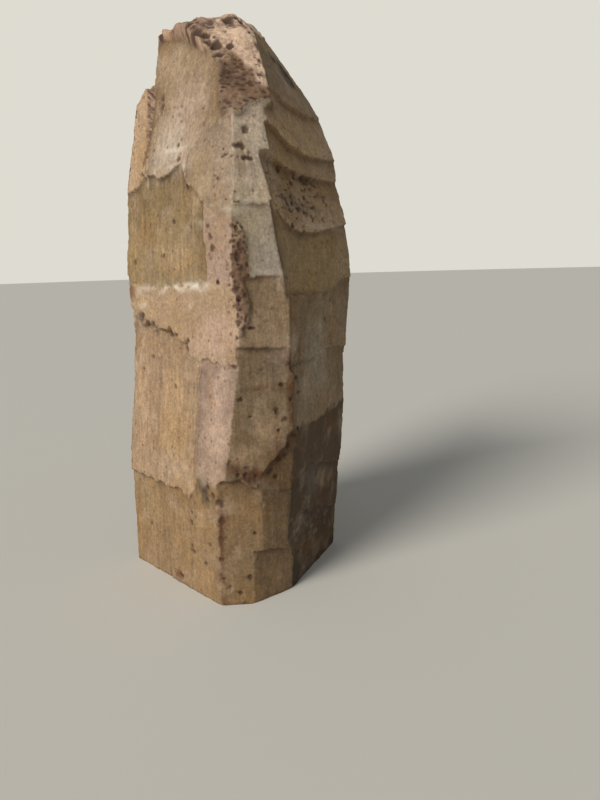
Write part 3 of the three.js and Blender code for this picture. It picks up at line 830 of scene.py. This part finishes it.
def add_node(tree, kind, settings):
    """Adds a shader node to a tree. Another node's output is linked to the node's input of that
    name. Any other setting goes to the node's own property or, if it has none, to its input."""
    node = tree.nodes.new(kind)
    for key, value in settings.items():
        if isinstance(value, bpy.types.NodeSocket):
            tree.links.new(value, node.inputs[key])
        elif isinstance(key, str) and hasattr(node, key):
            setattr(node, key, value)
        else:
            node.inputs[key].default_value = value
    return node


def new_material(name):
    """A material with an empty node tree."""
    material = bpy.data.materials.new(name)
    material.use_nodes = True
    material.node_tree.nodes.clear()
    return material


# Sizes of the material's patterns, in metres.
STAIN_SIZE = 0.026
PALE_SIZE = 0.012
SCORE_WIDTH = 0.0017
SKIN_LUMP = 0.0032
ORE_SPACING = 0.0034
GRAIN = 0.0009
# Grains of talc and of darker mica: their size and the darkest and lightest tone they give.
GRAINS = ((0.0012, 0.7, 1.28), (0.0036, 0.8, 1.18))
# What the material reads of each point, apart from its hue.
FACTS = ("skin", "relief", "hollows_and_ledge_shade", "fresh", "score", "streaky")
# The material's own colours.
TINTS = {key: (*linear(value), 1) for key, value in {
    "rust": "#6d4226", "iron": "#4a3120", "chalk": "#e2d6c4", "hollow": "#49301f",
    "pale": "#cbb298", "stain": "#a3743f",
}.items()}


def noise(tree, size, detail, stretch=1.0, roughness=0.55):
    """Noise whose lumps are `size` metres across, and `stretch` times as tall."""
    place = add_node(tree, "ShaderNodeTexCoord", {}).outputs["Object"]
    laid = add_node(tree, "ShaderNodeMapping",
                    {"Vector": place, "Scale": (1 / size, 1 / size, 1 / size / stretch)})
    return add_node(tree, "ShaderNodeTexNoise", {
        "Vector": laid.outputs["Vector"], "Scale": 1.0, "Detail": detail,
        "Roughness": roughness}).outputs["Fac"]


def span(tree, source, low, high, to_low=0.0, to_high=1.0):
    """The source's value, moved from one range to another and held within it."""
    return add_node(tree, "ShaderNodeMapRange", {
        "Value": source, "From Min": low, "From Max": high, "To Min": to_low,
        "To Max": to_high}).outputs["Result"]


def blend(tree, share, below, above, mode="MIX"):
    """Two colours mixed by a share. Each of the three is a value or another node's output."""
    return add_node(tree, "ShaderNodeMix", {
        "data_type": "RGBA", "blend_type": mode, 0: share, 6: below, 7: above}).outputs[2]


def combined(tree, operation, first, second):
    """Two values added or multiplied."""
    return add_node(tree, "ShaderNodeMath",
                    {"operation": operation, 0: first, 1: second}).outputs["Value"]


def toned_stone(tree, facts, streaks, paler):
    """The hue with iron stains and paler patches a few centimetres across, chisel scores that
    are strong where the flat's scores are, and grains at two sizes."""
    hue = add_node(tree, "ShaderNodeAttribute", {"attribute_name": "hue"}).outputs["Color"]
    stain = span(tree, noise(tree, STAIN_SIZE, 3), 0.52, 0.75, 0, 0.22)
    stained = blend(tree, stain, hue, TINTS["stain"])
    mottled = blend(tree, span(tree, paler, 0.52, 0.8, 0, 0.35), stained, TINTS["pale"])
    scores = combined(tree, "ADD", span(tree, streaks, 0.3, 0.7, -0.2, 0.17),
                      span(tree, facts["score"], 0, 1, -0.1, 0.09))
    scores = combined(tree, "MULTIPLY", scores, facts["streaky"])
    tone = combined(tree, "ADD", scores, 1.0)
    for size, low, high in GRAINS:
        grain = span(tree, noise(tree, size, 4, 1, 0.7), 0.3, 0.7, low, high)
        tone = combined(tree, "MULTIPLY", tone, grain)
    return blend(tree, 1.0, mottled, tone, "MULTIPLY")


def struck_stone(tree, facts, toned):
    """Struck stone: specks of iron ore, a few of the places for one, and chalky bruises,
    with pale chalk along sharp edges that is partly wear and partly painted highlight.
    """
    place = add_node(tree, "ShaderNodeTexCoord", {}).outputs["Object"]
    cells = add_node(tree, "ShaderNodeTexVoronoi",
                     {"Vector": place, "Scale": 1 / ORE_SPACING, "Randomness": 1.0})
    cell = add_node(tree, "ShaderNodeSeparateColor", {"Color": cells.outputs["Color"]})
    speck = combined(tree, "MULTIPLY",
                     span(tree, cells.outputs["Distance"], 0.16, 0.28, 1, 0),
                     span(tree, cell.outputs["Red"], 0.7, 0.8, 0, 0.55))
    specked = blend(tree, speck, toned, TINTS["rust"])
    # Chalk for the bruises, and a painted highlight, partly wear, along sharp edges.
    return blend(tree, facts["fresh"], specked, TINTS["chalk"])


def weathered_skin(tree, facts, toned):
    """The weathered skin, darker in its hollows and paler on its lumps."""
    height = combined(tree, "ADD", facts["relief"], noise(tree, SKIN_LUMP, 4, 1, 0.65))
    sunken = blend(tree, span(tree, height, 0.96, 0.66, 0, 0.85), toned, TINTS["hollow"])
    return blend(tree, span(tree, height, 1.08, 1.35, 0, 0.35), sunken, TINTS["pale"])


def soapstone():
    """Soapstone, struck with a chisel and left dry. Talc makes it soft and matt, with a faint
    waxy gloss in its paler patches. It bruises chalky white, iron stains it ochre to rust,
    and its weathered skin is pitted and brown."""
    stone = new_material("soapstone, chisel-struck and dry")
    tree = stone.node_tree
    facts = {name: add_node(tree, "ShaderNodeAttribute", {"attribute_name": name}).outputs["Fac"]
             for name in FACTS}
    streaks = noise(tree, SCORE_WIDTH, 3, 8)
    paler = noise(tree, PALE_SIZE, 4)
    toned = toned_stone(tree, facts, streaks, paler)
    whole = blend(tree, facts["skin"], struck_stone(tree, facts, toned),
                  weathered_skin(tree, facts, toned))
    # Darker in pits, specks and holes, and painted shade along the foot of each ledge.
    hollows_and_ledge_shade = span(tree, facts["hollows_and_ledge_shade"], 0.05, 0.8, 0, 0.8)
    grains = add_node(tree, "ShaderNodeBump", {
        "Height": noise(tree, GRAIN, 5, 1, 0.75), "Strength": 0.55, "Distance": 0.0004})
    scores = add_node(tree, "ShaderNodeBump", {
        "Height": streaks, "Normal": grains.outputs["Normal"], "Strength": 0.5,
        "Distance": 0.0005})
    shader = add_node(tree, "ShaderNodeBsdfPrincipled", {
        "Base Color": blend(tree, hollows_and_ledge_shade, whole, TINTS["iron"]), "IOR": 1.55, "Metallic": 0.0,
        "Roughness": span(tree, paler, 0.3, 0.8, 0.9, 0.68),
        "Normal": scores.outputs["Normal"]})
    add_node(tree, "ShaderNodeOutputMaterial", {"Surface": shader.outputs["BSDF"]})
    return stone


def matt_paint(settings):
    """Matt emulsion on board: an even pale floor with no gloss."""
    paint = new_material("matt emulsion, rolled")
    shader = add_node(paint.node_tree, "ShaderNodeBsdfPrincipled", {
        "Base Color": (*settings.floor_colour, 1), "Roughness": 0.9, "IOR": 1.5})
    add_node(paint.node_tree, "ShaderNodeOutputMaterial", {"Surface": shader.outputs["BSDF"]})
    return paint


# ---- settings ----

def amount(name, about, default, low=0.0, high=1000.0, **more):
    """A number that a user can set, held between two limits."""
    return bpy.props.FloatProperty(name=name, description=about, default=default, min=low,
                                   max=high, **more)


def whole(name, about, default, low, high):
    """A whole number that a user can set, held between two limits."""
    return bpy.props.IntProperty(name=name, description=about, default=default, min=low, max=high)


class StoneSettings(bpy.types.PropertyGroup):
    """Sizes of the stone's surface that a user would change."""

    lump_rise: amount("Lump rise", "How far the skin's lumps stand out",
                      1.5 * MM, 0, 4 * MM, unit="LENGTH")
    ledge_steepness: amount("Ledge steepness", "Rise of a ledge's wall for each unit outwards",
                            1.8, 0.5, 6)
    ledge_raggedness: amount("Ledge raggedness",
                             "How far a ledge's edge strays, in millimetres", 1.0, 0, 3)
    columns: whole("Columns", "Points round the stone before thinning", 720, 60, 1200)
    rows: whole("Rows", "Points from foot to top before thinning", 600, 60, 1200)
    triangles: whole("Triangles", "Triangles left after thinning", 190000, 5000, 199000)


class StageSettings(bpy.types.PropertyGroup):
    """The floor and the light."""

    floor_colour: bpy.props.FloatVectorProperty(
        name="Floor", description="Colour of the floor", subtype="COLOR", size=3,
        default=linear("#d9d6cd"), min=0, max=1)
    window_strength: amount("Window light", "Strength of the large light on the left", 2.7)
    fill_strength: amount("Fill light", "Strength of the light near the camera", 0.12)
    room_light: amount("Room light", "Strength of the even light from all round", 0.27)


# ---- operators ----

class STONE_OT_block(bpy.types.Operator):
    """Make the hewn block, chisel-struck on its sides and skinned on its cap"""

    bl_idname = "stone.block"
    bl_label = "Hewn block"

    def execute(self, context):
        settings = context.scene.hewn_stone
        columns, rows = settings.columns, settings.rows
        points, owner, under, facts = stone_surface(columns, rows, settings)
        colours = stone_colours(points, owner, under).reshape(-1, 3)
        pole = points[-1].mean(axis=0)
        places = np.concatenate([points.reshape(-1, 3), [pole, (0, 0, 0)]]) * MM
        mesh = mesh_from("hewn_block", places, *grid_faces(columns, rows))
        # The pole takes the values of a point of the last row, and the foot's middle of one
        # of the first.
        add_colour(mesh, "hue", np.concatenate([colours, colours[[-columns, 0]]]))
        for name in FACTS:
            values = facts[name].ravel()
            add_attribute(mesh, name, np.concatenate([values, values[[-columns, 0]]]))
        piece = shown_object(context, "hewn_block", mesh)
        piece.data = thinned(context, piece, settings.triangles)
        piece.data.shade_smooth()
        piece.data.materials.append(soapstone())
        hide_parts("stone")
        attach(piece, "root")
        return {"FINISHED"}


# The camera's place, in metres, and how it is turned: degrees to the right of straight
# ahead, degrees below level, and degrees of roll. Its sensor is as wide as 35 mm film.
CAMERA_PLACE = (0.0125, -0.293, 0.146)
CAMERA_YAW = 3.39
CAMERA_PITCH = 12.71
CAMERA_ROLL = -1.68
FILM = 36.0
IMAGE_TALL = 800
FOCAL_IN_PIXELS = 601

# The floor is a round sheet about the stone.
FLOOR_RADIUS = 9.0
FLOOR_SIDES = 96


def camera_axes():
    """The camera's right, up and forward directions."""
    yaw, pitch, roll = (math.radians(a) for a in (CAMERA_YAW, CAMERA_PITCH, CAMERA_ROLL))
    level = np.array([math.sin(yaw), math.cos(yaw), 0])
    right = np.array([math.cos(yaw), -math.sin(yaw), 0])
    forward = level * math.cos(pitch) - UP * math.sin(pitch)
    upward = UP * math.cos(pitch) + level * math.sin(pitch)
    turned = right * math.cos(roll) + upward * math.sin(roll)
    tilted = upward * math.cos(roll) - right * math.sin(roll)
    return turned, tilted, forward


def pointed(place, right, upward, forward):
    """The placing of an object whose own -Z looks forward."""
    turn = Matrix(np.stack([right, upward, -forward], axis=1).tolist()).to_4x4()
    return Matrix.Translation(place) @ turn


def add_light(context, name, azimuth, elevation, width, strength, colour):
    """A light so far off that it is as strong at every place, that looks `width` degrees wide
    and so casts soft shadows. Its azimuth is from the front towards the right."""
    lamp = bpy.data.lights.new(name, "SUN")
    lamp.angle = math.radians(width)
    lamp.energy = strength
    lamp.color = colour
    turn, rise = math.radians(azimuth), math.radians(elevation)
    forward = -np.array([math.sin(turn) * math.cos(rise), -math.cos(turn) * math.cos(rise),
                         math.sin(rise)])
    right = np.cross(forward, UP)
    right /= np.linalg.norm(right)
    source = bpy.data.objects.new(name, lamp)
    source.matrix_world = pointed((0, 0, 1), right, np.cross(right, forward), forward)
    context.scene.collection.objects.link(source)


def room(strength):
    """Even light from all round, behind which the room shows pale."""
    world = bpy.data.worlds.new("pale_room")
    world.use_nodes = True
    tree = world.node_tree
    tree.nodes.clear()
    seen = add_node(tree, "ShaderNodeBackground", {"Color": (*linear("#dedcd2"), 1)})
    cast = add_node(tree, "ShaderNodeBackground",
                    {"Color": (*linear("#e4e8ea"), 1), "Strength": strength})
    path = add_node(tree, "ShaderNodeLightPath", {})
    light = add_node(tree, "ShaderNodeMixShader", {
        0: path.outputs["Is Camera Ray"], 1: cast.outputs[0], 2: seen.outputs[0]})
    add_node(tree, "ShaderNodeOutputWorld", {"Surface": light.outputs[0]})
    return world


class STONE_OT_stage(bpy.types.Operator):
    """Make the pale floor, the soft studio light and the camera"""

    bl_idname = "stone.stage"
    bl_label = "Stage"

    def execute(self, context):
        settings = context.scene.stone_stage
        column = np.arange(FLOOR_SIDES)
        around = column / FLOOR_SIDES * 2 * np.pi
        rim = FLOOR_RADIUS * np.stack([np.cos(around), np.sin(around), 0 * around], axis=1)
        middle = np.full(FLOOR_SIDES, FLOOR_SIDES)
        fan = np.stack([column, (column + 1) % FLOOR_SIDES, middle], axis=1)
        floor_points = np.concatenate([rim, [(0, 0, 0)]])
        floor = shown_object(context, "floor", mesh_from(
            "floor", floor_points, np.zeros((0, 4), int), fan))
        floor.data.materials.append(matt_paint(settings))

        add_light(context, "window", azimuth=-50, elevation=31, width=28,
                  strength=settings.window_strength, colour=(1, 0.97, 0.92))
        add_light(context, "fill", azimuth=8, elevation=22, width=40,
                  strength=settings.fill_strength, colour=(0.95, 0.98, 1))
        context.scene.world = room(settings.room_light)

        camera = bpy.data.cameras.new("camera")
        camera.sensor_width = FILM
        camera.lens = FILM * FOCAL_IN_PIXELS / IMAGE_TALL
        camera.clip_start = 0.01
        viewer = bpy.data.objects.new("camera", camera)
        viewer.matrix_world = pointed(CAMERA_PLACE, *camera_axes())
        context.scene.collection.objects.link(viewer)
        context.scene.camera = viewer
        context.scene.view_settings.view_transform = "Standard"
        return {"FINISHED"}


class STONE_PT_panel(bpy.types.Panel):
    """Lists what can be made"""

    bl_idname = "STONE_PT_panel"
    bl_label = "Hewn soapstone"
    bl_space_type = "VIEW_3D"
    bl_region_type = "UI"
    bl_category = "Stone"

    def draw(self, context):
        layout = self.layout
        for group in (context.scene.hewn_stone, context.scene.stone_stage):
            for name in group.bl_rna.properties.keys():
                if name not in ("rna_type", "name"):
                    layout.prop(group, name)
        for operator in (STONE_OT_block, STONE_OT_stage):
            layout.operator(operator.bl_idname)


CLASSES = (StoneSettings, StageSettings, STONE_OT_block, STONE_OT_stage, STONE_PT_panel)


def register():
    for cls in CLASSES:
        bpy.utils.register_class(cls)
    bpy.types.Scene.hewn_stone = bpy.props.PointerProperty(type=StoneSettings)
    bpy.types.Scene.stone_stage = bpy.props.PointerProperty(type=StageSettings)


def unregister():
    del bpy.types.Scene.stone_stage
    del bpy.types.Scene.hewn_stone
    for cls in reversed(CLASSES):
        bpy.utils.unregister_class(cls)


def main():
    register()
    bpy.ops.stone.block()
    bpy.ops.stone.stage()


if __name__ == "__main__":
    main()
